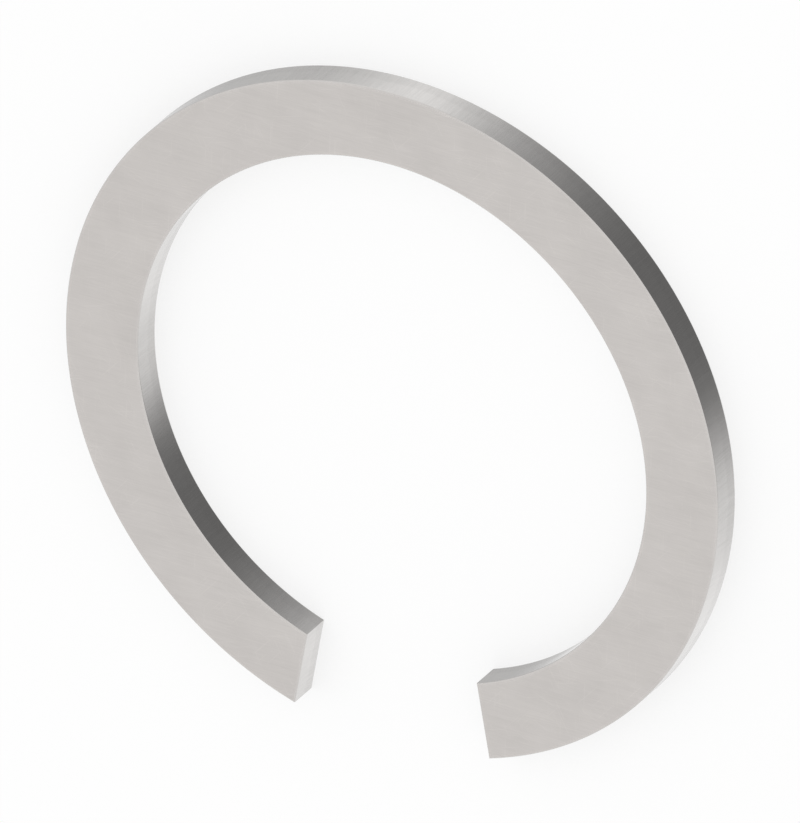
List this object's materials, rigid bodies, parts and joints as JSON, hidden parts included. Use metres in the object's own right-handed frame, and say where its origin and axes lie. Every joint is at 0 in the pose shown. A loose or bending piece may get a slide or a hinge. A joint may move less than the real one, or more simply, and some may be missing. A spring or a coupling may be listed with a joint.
{
  "type": "circlip retaining ring",
  "caption": "Flat open retaining ring of spring steel: a plain band of even width bent round to one gap with straight, slightly splayed ends, without lugs or holes.",
  "frame": {"origin": "on the ring's axis, level with its underside", "axes": "+Z along the ring's axis, away from the surface it lies on; the gap is centred on the -Y side, and the ring is the same on its +X and -X sides"},
  "size_m": [0.026, 0.0254, 0.0012],
  "materials": {
    "spring_steel": "satin, bright, fine-grained, with tumbled edges"
  },
  "bodies": {
    "root": {"ring": "spring_steel"}
  },
  "joints": []
}
